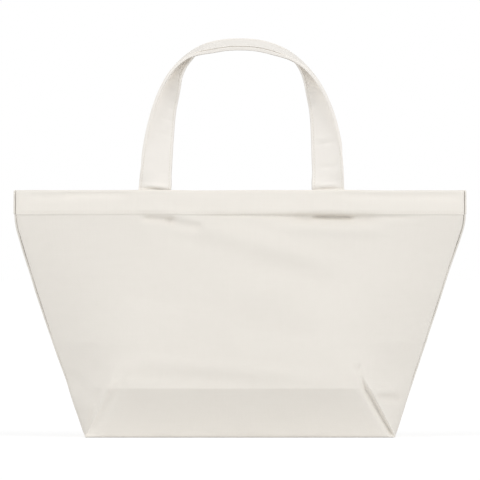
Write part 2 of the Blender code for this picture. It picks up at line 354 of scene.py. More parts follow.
# Pinch beside a corner crease: between which heights, how far past the crease on the side,
# its reach on the face (half of it at the base) and on the side, and how far it stands out
PINCHES = [
    (FRONT, RIGHT, -0.002, 0.066, -0.0008, 0.0080, 0.0018, -0.0062),
    (FRONT, LEFT, 0.000, 0.060, 0.0150, 0.0070, 0.0060, -0.0026),
    (BACK, LEFT, 0.004, 0.056, 0.0020, 0.0070, 0.0040, -0.0050),
    (BACK, RIGHT, 0.000, 0.050, 0.0080, 0.0070, 0.0060, -0.0025),
]

# Slow undulation of the cloth and its finer crumple: size along the bag, upward, and height
SWELLS = ((0.085, 0.050, 0.0009), (0.030, 0.022, 0.00035), (0.010, 0.008, 0.00007))


def folds_relief(folds, x, height):
    """How far the folds stand out from the plain surface."""
    total = np.zeros(np.broadcast(x, height).shape)
    for fold in folds:
        start_x, start_z, end_x, end_z, width, rise = (value / FOLD_UNIT for value in fold)
        run = math.hypot(end_x - start_x, end_z - start_z)
        way_x, way_z = (end_x - start_x) / run, (end_z - start_z) / run
        along = (x - start_x) * way_x + (height - start_z) * way_z
        off = (height - start_z) * way_x - (x - start_x) * way_z
        beyond = np.maximum(0, np.maximum(-along, along - run))
        total += rise * bump(off, width) * bump(beyond, max(width, run * FOLD_FADE))
    return total


def swells_relief(x, height, seed):
    """Slow undulation and fine crumple, the same on each run."""
    x, height = np.broadcast_arrays(x, height)
    total = 0
    for i, (across, up, rise) in enumerate(SWELLS):
        places = zip(x.flat, height.flat)
        values = [noise.noise(Vector((a / across, b / up, seed + i * 10))) for a, b in places]
        total = total + rise * np.reshape(values, x.shape)
    return total


# Surface of one panel

# Steps round the bag over which the outward direction is taken, close and for the folds
CLOSE_TURN, FOLD_TURN = 1e-3, 0.12

# Depth and width of the groove at the side seam and of the one that the hem's stitches pull
# in, and how far the sewn ends of a strap press the hem outward
SEAM_GROOVE, SEAM_REACH = 0.0013, 0.0014
STITCH_GROOVE, STITCH_REACH = 0.00022, 0.0009
STRAP_IMPRINT = 0.0003

# Waves of the top edge: their height, and from where and over what height they come in
TOP_WAVE, WAVE_FROM, WAVE_OVER = 0.00022, 0.19, 0.05


class Panel:
    """Front or back of the bag as a surface, by place round and up the bag."""

    def __init__(self, scene, side):
        self.body, self.cloth, self.strap = scene.tote_body, scene.tote_cloth, scene.tote_strap
        self.side = side
        self.folds, self.seed = (FRONT_FOLDS, 3.0) if side == FRONT else (BACK_FOLDS, 57.0)
        self.seam = self.body.seam_shift * (-side) + self.cloth.layer_gap
        self.hem_low = self.body.height - self.cloth.hem_height
        self.stitch_height = self.hem_low + scene.tote_threads.hem_line
        self.roll = 1.5 * self.cloth.thickness + self.cloth.layer_gap
        # places from a corner (0) to the seam (1), and across the face from -1 to 1
        fine, plain = self.cloth.fine_cell, self.cloth.plain_cell
        half_base, half_face = self.body.base_depth / 2, self.body.base_width / 2
        self.parts = spaced(0.0, half_base, [0.0, half_base], fine, plain) / half_base
        right = 1 - spaced(0.0, half_face, [0.0], fine * 1.3, plain)[::-1] / half_face
        self.face = np.concatenate([-right[:0:-1], right])
        self.around = np.concatenate([-1 - self.parts[:0:-1], self.face, 1 + self.parts[1:]])

    def plan(self, around, height):
        """Place in plan, and how far it lies from the seam and past the corner."""
        return plan_point(self.body, self.cloth, around, height, self.seam)

    def outward(self, around, height, step):
        """Outward direction in plan, taken over a step to each side."""
        ahead, behind = (self.plan(around + way, height) for way in (step, -step))
        run_x, run_y = ahead[0] - behind[0], ahead[1] - behind[1]
        run = np.hypot(run_x, run_y)
        return -run_y / run, run_x / run

    def folds_out(self, x, height, from_seam):
        """How far the folds and the slow swells stand out."""
        calm_hem = mix(1, 0.35, ease((height - self.hem_low + 0.004) / 0.006))
        deep = folds_relief(self.folds, x, height) * ease(height / 0.004) * ease(from_seam / 0.016)
        return deep + swells_relief(x, height, self.seed) * calm_hem * ease(height / 0.006)

    def pinched(self, around, height, past_corner):
        """How far the pinches stand out."""
        total = 0
        for side, end, low, high, away, face_reach, side_reach, rise in PINCHES:
            if side == self.side:
                off = past_corner + away
                on_face = face_reach * mix(0.5, 1, height / high)
                here = bump(off, np.where(off > 0, on_face, side_reach))
                here = here * ease((height - low) / 0.008) * ease((high - height) / 0.024)
                total = total + np.where(around * end > 0, rise * here, 0)
        return total

    def imprint(self, x, height):
        """How far the sewn strap ends press the hem outward."""
        outer = np.where(x < 0, self.strap.left_reach, self.strap.right_reach)
        from_outer, from_inner = outer - np.abs(x), np.abs(x) - (outer - self.strap.width)
        over = ease(from_outer / 0.006 + 0.5) * ease(from_inner / 0.006 + 0.5)
        return STRAP_IMPRINT * over * ease((height - self.hem_low - 0.001) / 0.003)

    def outer_step(self, height):
        """Step at the hem's lower edge, and the groove of its stitches."""
        step = self.cloth.hem_step * ease((height - self.hem_low + 0.0006) / 0.0014)
        return step - STITCH_GROOVE * bump(height - self.stitch_height, STITCH_REACH)

    def lift(self, x, height):
        """Slight unevenness of the top edge."""
        wave = np.sin(x * 31 + self.side) + 0.6 * np.sin(x * 67 + 2 + self.side)
        return TOP_WAVE * (wave - 1.6) * ease((height - WAVE_FROM) / WAVE_OVER)

    def point(self, around, height, inset=0.0, outside=True, level=None):
        """World points by place; level is where an inset layer ends up."""
        around, height = np.broadcast_arrays(np.asarray(around, float), np.asarray(height, float))
        x, y, from_seam, past_corner = self.plan(around, height)
        near_x, near_y = self.outward(around, height, CLOSE_TURN)
        wide_x, wide_y = self.outward(around, height, FOLD_TURN)
        folds = self.folds_out(x, height, from_seam) + self.pinched(around, height, past_corner)
        groove = SEAM_GROOVE * bump(from_seam - self.seam, SEAM_REACH)
        close = self.imprint(x, height) - inset - groove
        if outside:
            close = close + self.outer_step(height)
        level = height if level is None else level
        out_x, out_y = near_x * close + wide_x * folds, near_y * close + wide_y * folds
        return stacked(x + out_x, self.side * (y + out_y), level + self.lift(x, height))


# How fast cells grow away from a sharp place, and how fast they shrink towards a stop
CELL_GROWTH, CELL_SHRINK = 0.22, 0.3


def spaced(start, end, sharp_places, fine, plain):
    """Values from start to end, closer near the sharp places, which are all hit."""
    stops = sorted(set([place for place in sharp_places if start < place < end] + [end]))
    values, here = [start], start
    for stop in stops:
        inner = []
        while True:
            near = min(abs(here - place) for place in [*sharp_places, start, end])
            step = min(plain, fine + CELL_GROWTH * near, fine + CELL_SHRINK * (stop - here))
            if stop - here < 1.4 * max(step, fine):
                break
            here += step
            inner.append(here)
        values += inner + [stop]
        here = stop
    return np.array(values)


# Mesh and object helpers


def add_mesh(name, points, faces, corners):
    """Mesh object, with the flat place of each face corner as its UV."""
    mesh = bpy.data.meshes.new(name)
    mesh.from_pydata(list(map(tuple, points)), [], list(map(tuple, faces)))
    layer = mesh.uv_layers.new(name="flat_cloth")
    layer.data.foreach_set("uv", np.asarray(corners, np.float32).ravel())
    mesh.validate()
    mesh.update()
    return add_object(name, mesh)


def add_object(name, data):
    """Object in the scene, with this mesh or curve."""
    made = bpy.data.objects.new(name, data)
    bpy.context.scene.collection.objects.link(made)
    return made


def select_only(obj):
    """Makes one object the selected and the active one."""
    bpy.ops.object.select_all(action="DESELECT")
    obj.select_set(True)
    bpy.context.view_layer.objects.active = obj


def give_thickness(obj, thickness):
    """Gives a sheet its second face, inward of the one it has."""
    solid = obj.modifiers.new("cloth_thickness", "SOLIDIFY")
    solid.thickness, solid.offset, solid.use_quality_normals = thickness, -1, True
    select_only(obj)
    bpy.ops.object.modifier_apply(modifier=solid.name)
    obj.data.shade_smooth()


def grid_faces(index, flat, flipped=False):
    """Faces of a grid of vertex numbers, and the flat places of their corners."""
    faces, corners = (
        np.stack([grid[:-1, :-1], grid[:-1, 1:], grid[1:, 1:], grid[1:, :-1]], axis=2)
        for grid in (index, flat)
    )
    order = -1 if flipped else 1
    return list(faces[..., ::order].reshape(-1, 4)), list(corners[:, :, ::order].reshape(-1, 2))


def tube_faces(index, flat, cap_flat, flipped=False):
    """Faces of a tube whose rows are rings, capped; flat has one more column than index."""
    closed = np.concatenate([index, index[:, :1]], axis=1)
    faces, corners = grid_faces(closed, flat, flipped)
    order = 1 if flipped else -1
    faces += [index[0][::order], index[-1][::-order]]
    return faces, corners + [*cap_flat[0][::order], *cap_flat[-1][::-order]]


def smooth_by_angle(obj):
    """Smooth shading that keeps the sharp edges."""
    select_only(obj)
    bpy.ops.object.shade_smooth_by_angle(angle=math.radians(50))


def finish_piece(obj, material, body="bag"):
    """Gives a finished piece its material and its body."""
    obj.data.materials.clear()
    obj.data.materials.append(material)
    if body:
        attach(obj, body)


# Canvas panels

# Steps of the cloth round the top edge and round the hem's lower edge, and how far below
# the stitches the turned layers end
ROLL_STEPS, TURN_START = 8, 0.0012


def canvas_rows(panel):
    """Rows of the canvas from the floor up, over the top edge and down inside."""
    body, cloth, line = panel.body, panel.cloth, panel.stitch_height
    top = body.height - panel.roll
    sharp = [0.0, body.belly_height, panel.hem_low - 0.003, panel.hem_low, line]
    wall = spaced(0.0, top, sharp, cloth.fine_cell, cloth.plain_cell)
    turns = np.arange(1, ROLL_STEPS + 1) / ROLL_STEPS * math.pi
    down = top - (line - TURN_START)
    facing = spaced(0.0, down, [0.0, top - line], cloth.fine_cell, cloth.plain_cell)[1:]
    heights = np.concatenate([wall, np.full(ROLL_STEPS, top), top - facing])
    levels = np.concatenate([wall, top + panel.roll * np.sin(turns), top - facing])
    insets = np.concatenate(
        [0 * wall, panel.roll * (1 - np.cos(turns)), np.full(len(facing), 2 * panel.roll)]
    )
    return heights, levels, insets


# Reach of the rounding between base and walls, and height of the ridge over the base seam
BASE_ROUNDING, BASE_RIDGE = 0.0026, 0.0007


def base_point(panel, across, part):
    """Point on half of the base, from its front edge (part 0) to its seam (1)."""
    half_width, half_depth = panel.body.base_width / 2, panel.body.base_depth / 2
    edge = panel.point(across, 0.0)
    front = fillet(part * half_depth, BASE_ROUNDING)
    end = fillet((1 - np.abs(across)) * half_width, BASE_ROUNDING)
    x = edge[..., 0] - np.sign(across) * end
    y = mix(edge[..., 1], panel.side * panel.seam, part) - panel.side * front
    ridge = BASE_RIDGE * bump((1 - part) * half_depth, 0.0012)
    return stacked(x, y, np.maximum(front, end) + ridge)


def add_canvas(scene, panel, word):
    """One panel of canvas with its halves of the sides and of the base, hemmed."""
    body, side, parts, face, around = panel.body, panel.side, panel.parts, panel.face, panel.around
    heights, levels, insets = canvas_rows(panel)
    outside = (insets < panel.roll * 2 - 1e-6)[:, None, None]
    outer, inner = (
        panel.point(around[None], heights[:, None], insets[:, None], out, levels[:, None])
        for out in (True, False)
    )
    wall = np.where(outside, outer, inner)
    lean = np.where(insets == 0, fillet(heights, BASE_ROUNDING), 0)[:, None]
    out_x, out_y = panel.outward(around[None], heights[:, None], CLOSE_TURN)
    wall += stacked(-out_x * lean, -side * out_y * lean, lean)

    first, middle = len(parts) - 1, len(around) // 2
    last = first + len(face) - 1
    wall_index = np.arange(wall.size // 3).reshape(wall.shape[:2])
    floor = wall_index[0]
    inside = base_point(panel, face[None], parts[:, None])[1:, 1:-1]
    base_index = np.zeros((len(parts), len(face)), int)
    base_index[0] = floor[first : last + 1]
    base_index[1:, 0], base_index[1:, -1] = floor[:first][::-1], floor[last + 1 :]
    base_index[1:, 1:-1] = wall.size // 3 + np.arange(inside.size // 3).reshape(inside.shape[:2])

    up = body.base_depth / 2 + lengths_along(wall[:, middle])
    across = lengths_along(panel.point(around, body.belly_height))
    across -= across[middle]
    base_flat = stacked(across[first : last + 1], body.base_depth / 2 * (1 - parts[:, None]))
    faces, corners = grid_faces(wall_index, stacked(across, up[:, None]), side == BACK)
    base_faces, base_corners = grid_faces(base_index, base_flat, side == FRONT)
    points = np.concatenate([wall.reshape(-1, 3), inside.reshape(-1, 3)])
    piece = add_mesh(f"{word}_canvas", points, faces + base_faces, corners + base_corners)
    area = sum(polygon.area for polygon in piece.data.polygons)
    give_thickness(piece, panel.cloth.thickness)
    finish_piece(piece, canvas_material(scene))
    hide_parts(f"{word}_panel")
    return piece, area


# Hems


def add_hem_turn(scene, panel, word):
    """Cloth of the hem that is turned under, between canvas and facing."""
    cloth, facing = panel.cloth, 2 * panel.roll
    radius = cloth.thickness + cloth.layer_gap / 2
    low = panel.hem_low + radius
    turns = np.arange(ROLL_STEPS + 1) / ROLL_STEPS * math.pi
    rise = spaced(0, cloth.hem_height - 0.004, [0.0], cloth.fine_cell, cloth.plain_cell)[1:]
    start = panel.stitch_height - TURN_START
    levels = np.concatenate([[start], low - radius * np.sin(turns), low + rise])
    insets = np.concatenate(
        [[facing], facing - radius * (1 - np.cos(turns)), 0 * rise + (facing - 2 * radius)]
    )
    grid = panel.point(panel.around[None], levels[:, None], insets[:, None], False)
    index = np.arange(grid.size // 3).reshape(grid.shape[:2])
    up = lengths_along(grid[:, len(panel.around) // 2])
    flat = stacked(lengths_along(grid[0]), up[:, None])
    faces, corners = grid_faces(index, flat, panel.side == BACK)
    piece = add_mesh(f"{word}_hem_turn", grid.reshape(-1, 3), faces, corners)
    give_thickness(piece, cloth.thickness)
    finish_piece(piece, canvas_material(scene))
    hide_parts(f"{word}_hem")
    return piece


# Straps

# Half of a strap: how full its arch is, how far the leg leans in, where along the half
# (0 foot, 1 crown) its outer and its inner edge fold over, how early the fold crosses the
# strap, how soft it is, how far it turns the strap, and from where the crown turns it more
Leg = namedtuple(
    "Leg", "fullness lean outer_fold inner_fold fold_bend softness folded_turn crown_start"
)
LEGS = {
    LEFT: Leg(2.363, 0.042, 0.030, 0.808, 0.542, 0.108, 88.4, 0.536),
    RIGHT: Leg(2.287, 0.010, 0.126, 0.750, 0.637, 0.068, 93.3, 0.500),
}
CROWN_FULL = 0.9

# Turn of a leg at its foot and at the crown were it not folded, in degrees, and its ease
START_TURN, END_TURN, TURN_EASE = 11.0, 26.0, 0.4

# Curl of a leg: share of its turn at the inner edge, what the outer edge adds, and how late
CURL_LEAST, CURL_MORE, CURL_BEND = 0.30, 1.40, 1.4

# Share of the half over which the strap, flat in the hem, takes its turn
FLAT_FOOT = 0.10

# Pocket under the fold, where the inner edge curls the other way: where it starts and is
# complete, and its turn in degrees
POCKET_START, POCKET_FULL, POCKET_TURN = 0.42, 0.68, -44

# Crease across a strap: end of the handle, height, place across (-1 outer edge, 1 inner
# edge), half its length across, half its height, and how far it stands out
STRAP_CREASES = [
    (LEFT, 0.2492, 0.05, 0.70, 0.0010, -0.0011),
    (LEFT, 0.2528, 0.05, 0.75, 0.0022, 0.0012),
    (RIGHT, 0.2484, 0.00, 0.75, 0.0010, -0.0009),
    (RIGHT, 0.2525, 0.00, 0.80, 0.0026, 0.0010),
    (LEFT, 0.3220, 0.60, 0.40, 0.0024, -0.0004),
    (LEFT, 0.3060, 0.30, 0.50, 0.0024, -0.0003),
    (LEFT, 0.2800, -0.20, 0.60, 0.0050, 0.0003),
    (RIGHT, 0.2960, 0.10, 0.60, 0.0030, -0.0006),
    (RIGHT, 0.3010, 0.10, 0.60, 0.0040, 0.0004),
    (RIGHT, 0.2710, -0.10, 0.55, 0.0026, -0.0005),
    (RIGHT, 0.2650, -0.10, 0.55, 0.0040, 0.0003),
]


class Strap:
    """One strap, sewn end to sewn end, as points across and along it."""

    def __init__(self, scene, side):
        self.size, self.side = scene.tote_strap, side
        self.seat_y = side * abs((END_LOW.y + END_HIGH.y) / 2)
        self.low, self.foot = END_LOW.z, END_HIGH.z
        self.rise = self.size.rise + (self.size.back_lift if side == BACK else 0)
        left, left_shares = self.half_line(LEFT)
        right, right_shares = self.half_line(RIGHT)
        self.line = np.concatenate([left, right[-2::-1]])
        self.shares = np.concatenate([left_shares, right_shares[-2::-1]])
        self.ends = np.where(np.arange(len(self.line)) < len(left), LEFT, RIGHT)

    def half_line(self, end):
        """Outer line of one leg from its sewn end to the crown, and the share up it."""
        leg = LEGS[end]
        reach = self.size.left_reach if end == LEFT else self.size.right_reach
        angles = np.linspace(math.pi, math.pi / 2, 2400)
        rise = np.sin(angles) ** (2 / leg.fullness)
        run = np.abs(np.cos(angles)) ** (2 / leg.fullness)
        run *= 1 - leg.lean * 4 * rise * (1 - rise)
        arch = stacked(end * reach * run, self.foot + self.rise * rise)
        travel = lengths_along(arch)
        creased = sorted(height for mine, height, *_ in STRAP_CREASES if mine == end)
        sharp = list(np.interp(creased, arch[:, 1], travel))
        steps = spaced(0.0, travel[-1], sharp, 0.0005, 0.0019)
        sewn = spaced(0.0, self.foot - self.low, [], 0.0018, 0.0021)[:-1]
        seat = stacked(arch[0, 0], self.low + sewn)
        line = np.concatenate([seat, sampled(arch, travel, steps)])
        return line, np.concatenate([0 * sewn, steps / travel[-1]])

    def turn(self, across):
        """Turn of the strap about its line, by row and place across."""
        share = self.shares[:, None]
        curl = CURL_LEAST + CURL_MORE * ((1 - across[None]) / 2) ** CURL_BEND
        plain = curl * mix(START_TURN, END_TURN, share**TURN_EASE)
        pocket = ease((share - POCKET_START) / (POCKET_FULL - POCKET_START))
        plain = mix(plain * ease(share / FLAT_FOOT), POCKET_TURN, pocket)
        total = 0
        for end, leg in LEGS.items():
            growth = ease((share - leg.crown_start) / (CROWN_FULL - leg.crown_start))
            crown = mix(leg.folded_turn, math.degrees(self.size.crown_turn), growth)
            crossed = np.clip((across[None] + 1) / 2, 0, 1) ** leg.fold_bend
            fold = mix(leg.outer_fold, leg.inner_fold, crossed)
            over = ease((share - fold) / leg.softness + 0.5)
            mine = (self.ends == end)[:, None]
            total = np.where(mine, mix(np.minimum(plain, crown), crown, over), total)
        return np.radians(total)

    def creases(self, across):
        """How far the creases stand out in front."""
        total = 0
        for end, height, place, reach, width, rise in STRAP_CREASES:
            here = bump(self.line[:, [1]] - height, width) * bump(across[None] - place, reach)
            total = total + np.where((self.ends == end)[:, None], rise * here, 0)
        return total

    def surface(self, across):
        """Middle surface of the strap, and its direction out of the legs' front."""
        fine = np.linspace(-1, 1, 65)
        turn = self.turn(fine)
        step = (fine[1] - fine[0]) * self.size.width / 2
        inward, rearward = (
            np.cumsum(np.pad((part[:, 1:] + part[:, :-1]) / 2 * step, ((0, 0), (1, 0))), axis=1)
            for part in (np.cos(turn), np.sin(turn))
        )
        # the outer line touches the strap's outermost point, and its middle stays in line
        inward -= inward.min(axis=1)[:, None]
        rearward -= rearward[:, [len(fine) // 2]]
        inward, rearward = (
            np.stack([np.interp(across, fine, row) for row in run]) for run in (inward, rearward)
        )
        way = directions(self.line)
        inner_x, inner_z = way[:, [1]], -way[:, [0]]
        x = self.line[:, [0]] + inner_x * inward
        z = self.line[:, [1]] + inner_z * inward
        turn = self.turn(across)
        sine = np.sin(turn)
        out = stacked(sine * inner_x, self.side * np.cos(turn), sine * inner_z)
        points = stacked(x, self.seat_y - self.side * rearward, z)
        return points + out * self.creases(across)[..., None], out


# Depth and width of the groove that the edge stitching pulls in
EDGE_GROOVE, EDGE_REACH = 0.00026, 0.0007


def strap_half_thickness(size, from_edge):
    """Half the thickness, with the grooves of the stitches."""
    return size.thickness / 2 - EDGE_GROOVE * bump(from_edge - size.edge_stitch, EDGE_REACH)


# Rounding of the strap's edges, and the gap at its open edge: depth of the layer over it,
# how wide it is and how deep
EDGE_ROUND = 0.0004
OPEN_LAYER, OPEN_GAP, OPEN_DEPTH = 0.0008, 0.0006, 0.0022

# How far the layer over the gap lies back, how far the layers under it swell, and over what
# width of the strap each of these fades
LAYER_BACK, BACK_REACH = 0.0009, 0.0040
LAYER_SWELL, SWELL_REACH = 0.0016, 0.0027

# Share of the half from which the open edge gapes, up to where the gap has its full depth
GAPE_FROM, GAPE_FULL = 0.70, 0.84


def strap_edge(size, opened):
    """Edge of the strap, front to back: distance from the edge, and height."""
    half = size.thickness / 2
    turns = np.linspace(0, math.pi / 2, 4)
    corner = stacked(EDGE_ROUND * (1 - np.sin(turns)), half - EDGE_ROUND * (1 - np.cos(turns)))
    gap = OPEN_LAYER - half
    notch = [(0, half - 1.5 * EDGE_ROUND), (0, gap + OPEN_GAP / 2), (OPEN_DEPTH, gap)]
    notch.append((0, gap - OPEN_GAP / 2))
    rear = corner[::-1] * (1, -1)
    return np.concatenate([corner, notch, rear] if opened else [corner, rear])


def strap_ring(size):
    """Section of the strap: places across it, and heights over its middle."""
    half = size.width / 2
    from_edge = spaced(EDGE_ROUND, half, [size.edge_stitch], 0.00035, 0.0022)[1:]
    places = np.concatenate([from_edge / half - 1, 1 - from_edge[-2::-1] / half])
    heights = strap_half_thickness(size, (1 - np.abs(places)) * half)
    folded, opened = strap_edge(size, False), strap_edge(size, True)
    across = [places, 1 - folded[:, 0] / half, places[::-1], opened[::-1, 0] / half - 1]
    lifts = [heights, folded[:, 1], -heights[::-1], opened[::-1, 1]]
    across, lifts = np.concatenate(across), np.concatenate(lifts)
    back = LAYER_BACK * np.clip(1 - (across + 1) * half / BACK_REACH, 0, 1)
    return across + np.where(lifts < OPEN_LAYER - size.thickness / 2, back, 0) / half, lifts


def add_strap(scene, word, side):
    """One strap handle: both sewn ends and the arch between them."""
    strap = Strap(scene, side)
    size = strap.size
    across, lifts = strap_ring(size)
    surface, out = strap.surface(across)
    loops = surface + out * lifts[None, :, None]
    low = OPEN_LAYER - size.thickness / 2
    gap = np.argmin(np.abs(lifts - low))
    shut = (loops[:, gap - 1] + loops[:, gap + 1]) / 2
    gape = ease((strap.shares - GAPE_FROM) / (GAPE_FULL - GAPE_FROM))[:, None]
    loops[:, gap] = mix(shut, loops[:, gap], gape)
    swell = LAYER_SWELL * ease(1 - (across + 1) * size.width / 2 / SWELL_REACH)
    swell = swell * np.clip((lifts - low) / (size.thickness / 2 - 2 * EDGE_ROUND - low), 0, 1)
    loops += out * (gape * swell)[..., None]
    index = np.arange(loops.size // 3).reshape(loops.shape[:2])
    flat_across = np.append(across, across[0]) * size.width / 2
    flat = stacked(flat_across, lengths_along(strap.line)[:, None])
    faces, corners = tube_faces(index, flat, flat[:, :-1], side == BACK)
    piece = add_mesh(f"{word}_strap", loops.reshape(-1, 3), faces, corners)
    smooth_by_angle(piece)
    finish_piece(piece, woven_material(scene, "folded_strap_canvas", "strap"), body=None)
    blend_strap(piece)
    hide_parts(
        f"{word}_handle", f"{word}_handle_left_end", f"{word}_handle_right_end"
    )


def blend_strap(piece):
    """Bakes the placing of a strap, or of its threads, into its mesh."""
    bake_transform(piece)


# Seam allowances

# Section of one layer, as shares of its width and of its thickness, how far apart two
# layers lie, and how far the overlock threads pass the cut edge
STRIP_PROFILE = [(0, -0.5), (0.97, -0.5), (1.0, -0.25), (1.0, 0.25), (0.97, 0.5), (0, 0.5)]
LAYER_APART, OVERLOCK_PAST = 1.05, 1.03

# Mesh spacing along the allowances
STRIP_CELLS = 0.003, 0.004


def add_strip(name, path, across, out, thickness):
    """Two layers of cloth along a path; across gives the width, out their facing."""
    reach, lift = np.array(STRIP_PROFILE).T[..., None]
    rows, ring = len(path), len(reach)
    width = np.linalg.norm(across[0])
    flat = stacked(np.append(reach, 0) * width, lengths_along(path)[:, None])
    points, faces, corners = [], [], []
    for layer in (-0.5, 0.5):
        index = len(points) + np.arange(rows * ring).reshape(rows, ring)
        lifted = layer * thickness * LAYER_APART + lift * thickness
        rings = path[:, None] + across[:, None] * reach + out[:, None] * lifted
        points += list(rings.reshape(-1, 3))
        tube, tube_corners = tube_faces(index, flat, flat[:, [0] * ring])
        faces += tube
        corners += tube_corners
    piece = add_mesh(name, points, faces, corners)
    select_only(piece)
    bpy.ops.object.mode_set(mode="EDIT")
    bpy.ops.mesh.select_all(action="SELECT")
    bpy.ops.mesh.normals_make_consistent(inside=False)
    bpy.ops.object.mode_set(mode="OBJECT")
    smooth_by_angle(piece)
    return piece


def overlock(path, across, out, reach, thickness, pitch):
    """Threads round a cut edge: a zigzag over it and a straight row on each face."""
    travel = lengths_along(path)
    steps = np.linspace(0, travel[-1], 4 * int(travel[-1] / pitch) + 1)
    spot, way, lift = (sampled(points, travel, steps) for points in (path, across, out))
    inside = spot + way * (1 - reach / np.linalg.norm(across[0]))
    front, back = inside + lift * thickness, inside - lift * thickness
    wave = spot + way * OVERLOCK_PAST
    wave[::4], wave[2::4] = front[::4], back[2::4]
    return [wave, front, back]


def side_strip(body, cloth, end):
    """Path and directions of the allowances of one side."""
    top = body.height - cloth.hem_height - 0.0003
    heights = spaced(3 * cloth.thickness + 0.0012, top, [], *STRIP_CELLS)
    inset = (cloth.thickness + 0.0009) * math.hypot(1, seam_lean(body))
    x = end * (side_half_width(body, heights, end) - inset)
    sway = 0.0011 * np.sin(heights * 95 + end) + 0.0007 * np.sin(heights * 210)
    path = stacked(x, -body.seam_shift * 0.5, heights)
    return path, stacked(-end * cloth.allowance, sway, 0), stacked(0 * x, 1, 0)


def floor_strip(cloth, x, y, across_x, across_y, wave):
    """Path and directions of allowances on the base, slightly waved."""
    lift = 0.0002 + 0.0003 * np.sin(wave) ** 2
    path = stacked(x, y, 2 * cloth.thickness + 0.0004)
    return path, stacked(across_x, across_y, lift), stacked(0 * lift, 0, 1)


def seam_strips(body, cloth):
    """Every seam inside the bag: its node, and its path and directions."""
    reach = body.base_width / 2 - cloth.allowance - 0.0020
    x = spaced(-reach, reach, [], *STRIP_CELLS)
    strips = {"base_seam": floor_strip(cloth, x, 0.0, 0.0, cloth.allowance, x * 60)}
    reach = body.base_depth / 2 - cloth.thickness - 0.0035
    y = spaced(-reach, reach, [], *STRIP_CELLS)
    for word, end in ENDS.items():
        x = end * (body.base_width / 2 - cloth.thickness - 0.0008)
        corner = floor_strip(cloth, x, y, -end * cloth.allowance, 0.0, y * 70)
        strips[f"{word}_side_seam"] = side_strip(body, cloth, end)
        strips[f"{word}_corner_seam"] = corner
    return strips


# Threads


def sew(name, runs, radius, sides=1):
    """Threads along rows of points, as one mesh."""
    curve = bpy.data.curves.new(name, "CURVE")
    curve.dimensions = "3D"
    curve.bevel_depth = radius
    curve.bevel_resolution = sides
    curve.use_fill_caps = True
    for run in runs:
        spline = curve.splines.new("POLY")
        spline.points.add(len(run) - 1)
        spline.points.foreach_set("co", np.append(run, np.ones((len(run), 1)), axis=1).ravel())
    select_only(add_object(name, curve))
    bpy.ops.object.convert(target="MESH")
    made = bpy.context.view_layer.objects.active
    made.data.shade_smooth()
    return made


# How far along a stitch its four points lie, and how high they stand over the cloth
STITCH_SHAPE = ((0.0, -0.00030), (0.18, 0.00012), (0.62, 0.00012), (0.80, -0.00030))


def stitch_runs(line, out, pitch):
    """Points of each stitch of a row along a line on the cloth."""
    travel = lengths_along(line)
    parts, lifts = np.array(STITCH_SHAPE).T
    places = (np.arange(int(travel[-1] / pitch))[:, None] + parts) * pitch
    return list(sampled(line, travel, places) + sampled(out, travel, places) * lifts[:, None])


def hem_stitch_runs(scene, side):
    """Stitches round one half of the hem, outside and inside."""
    panel = Panel(scene, side)
    around = np.linspace(-1.985, 1.985, 900)
    runs = []
    for outside, inset, faced in ((True, 0.0, side), (False, 2 * panel.roll, -side)):
        line = panel.point(around, panel.stitch_height, inset, outside)
        way = directions(line)
        out = stacked(-way[:, 1], way[:, 0], 0) * faced
        runs += stitch_runs(line, out, scene.tote_threads.pitch)
    return runs


def strap_stitch_runs(scene, side):
    """Stitches along both edges of one strap, front and back, and across its ends."""
    strap = Strap(scene, side)
    size, pitch = strap.size, scene.tote_threads.pitch
    edge = 1 - size.edge_stitch / (size.width / 2)
    surface, out = strap.surface(np.linspace(-edge, edge, 25))
    half = strap_half_thickness(size, size.edge_stitch)
    runs = []
    for column in (0, -1):
        for way in (out[:, column], -out[:, column]):
            runs += stitch_runs(surface[:, column] + way * half, way, pitch)
    for end in LEGS:
        for height in (strap.low + size.edge_stitch, strap.foot - size.edge_stitch):
            row = np.argmin(np.abs(strap.line[:, 1] - height) + (strap.ends != end))
            runs += stitch_runs(surface[row] - out[row] * size.thickness / 2, -out[row], pitch)
    return runs


# Materials

# Shares of weave, slubs, mottling and clouds in the tone of the cloth, what is taken off it,
# and the shares in its relief
TONE_SHARES, TONE_DROP = (0.45, 0.50, 0.25, 0.35), 0.12
RELIEF_SHARES = (0.5, 0.7, 0.3)

# Sizes of the slubs, the mottling and the clouds, across and along the threads
SLUBS, MOTTLING, CLOUDS = (0.0012, 0.045), (0.009, 0.007), (0.06, 0.05)

# Height over which the hem is painted paler, and by how much: layered cloth and painted highlight
PALE_LIT_HEM_FADE, PALE_LIT_HEM_GAIN = 0.002, 0.08

# Grey of the floor, and what makes it white where it is seen: its glow and a darker grey
FLOOR_GREY, SEEN_GLOW, SEEN_GREY = 0.84, 0.62, 0.46


class Wire:
    """Output of a shader node; arithmetic on it adds Math nodes."""

    def __init__(self, finish, socket):
        self.finish, self.socket = finish, socket

    def math(self, operation, *values):
        """Adds a Math node."""
        return self.finish.add("Math", *values, operation=operation)

    def __add__(self, other):
        return self.math("ADD", self, other)

    def __mul__(self, other):
        return self.math("MULTIPLY", self, other)

    def __sub__(self, other):
        return self.math("SUBTRACT", self, other)

    def __rsub__(self, other):
        return self.math("SUBTRACT", other, self)

    def __truediv__(self, other):
        return self.math("DIVIDE", self, other)


